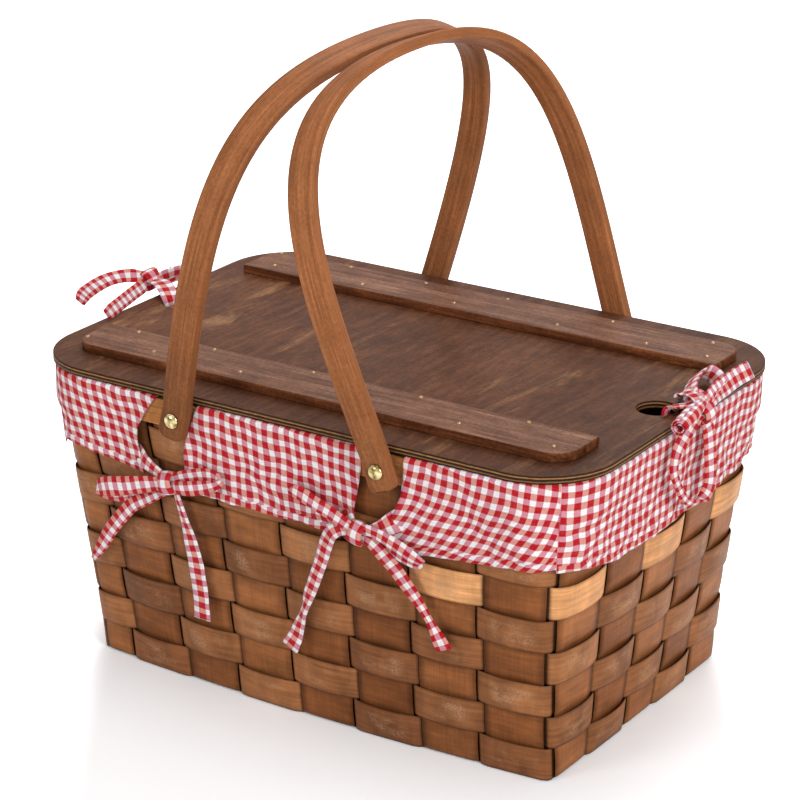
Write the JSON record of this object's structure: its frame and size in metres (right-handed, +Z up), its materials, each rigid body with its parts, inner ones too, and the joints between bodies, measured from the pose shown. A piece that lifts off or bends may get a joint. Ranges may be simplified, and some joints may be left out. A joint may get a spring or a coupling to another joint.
{
  "type": "picnic basket",
  "caption": "Woven wood-splint picnic basket with a plywood lid, swinging bentwood handles riveted to the rim, and a gingham lining turned over the rim and tied with bows.",
  "frame": {"origin": "middle of the basket's underside, on the plane that it stands on", "axes": "+X along the long side towards the right end, +Y from the front to the back, +Z up"},
  "size_m": [0.465, 0.3206, 0.4295],
  "materials": {
    "splint": "satin stained splint",
    "rim_wood": "satin stained band",
    "lid_wood": "semi-gloss dark stain",
    "batten_wood": "semi-gloss dark stain",
    "handle_wood": "satin lacquer",
    "brass": "polished",
    "gingham": "plain woven check"
  },
  "bodies": {
    "basket": {"cross_stake_1": "splint", "cross_stake_2": "splint", "cross_stake_3": "splint", "cross_stake_4": "splint", "cross_stake_5": "splint", "cross_stake_6": "splint", "cross_stake_7": "splint", "cross_stake_8": "splint", "long_stake_1": "splint", "long_stake_2": "splint", "long_stake_3": "splint", "long_stake_4": "splint", "long_stake_5": "splint", "weaver_row_1": "splint", "weaver_row_2": "splint", "weaver_row_3": "splint", "weaver_row_4": "splint", "weaver_row_5": "splint", "weaver_row_6": "splint", "weaver_row_7": "splint", "weaver_row_8": "splint", "outer_rim_band": "rim_wood", "inner_rim_band": "rim_wood", "lining_bag": "gingham", "front_cuff": "gingham", "right_cuff": "gingham", "back_cuff": "gingham", "left_cuff": "gingham", "left_front_rivet": "brass", "left_back_rivet": "brass", "right_front_rivet": "brass", "right_back_rivet": "brass", "left_front_washer": "brass", "left_back_washer": "brass", "right_front_washer": "brass", "right_back_washer": "brass", "left_front_burr": "brass", "left_back_burr": "brass", "right_front_burr": "brass", "right_back_burr": "brass", "front_left_bow": "gingham", "front_right_bow": "gingham", "back_right_bow": "gingham", "back_left_bow": "gingham"},
    "lid": {"lid_board": "lid_wood", "front_batten": "batten_wood", "back_batten": "batten_wood", "right_lid_bow": "gingham", "left_lid_bow": "gingham"},
    "left_handle": {"left_handle": "handle_wood"},
    "right_handle": {"right_handle": "handle_wood"}
  },
  "joints": [
    {"name": "lid_lift", "type": "hinge", "parent": "basket", "child": "lid", "pos_m": [-0.21, 0, 0.2118], "axis": [0, -1, 0], "range_deg": [0, 25]},
    {"name": "left_handle_swing", "type": "hinge", "parent": "basket", "child": "left_handle", "pos_m": [-0.078, 0, 0.202], "axis": [0, -1, 0], "range_deg": [0, 158]},
    {"name": "right_handle_swing", "type": "hinge", "parent": "basket", "child": "right_handle", "pos_m": [0.078, 0, 0.202], "axis": [0, 1, 0], "range_deg": [0, 163]}
  ]
}
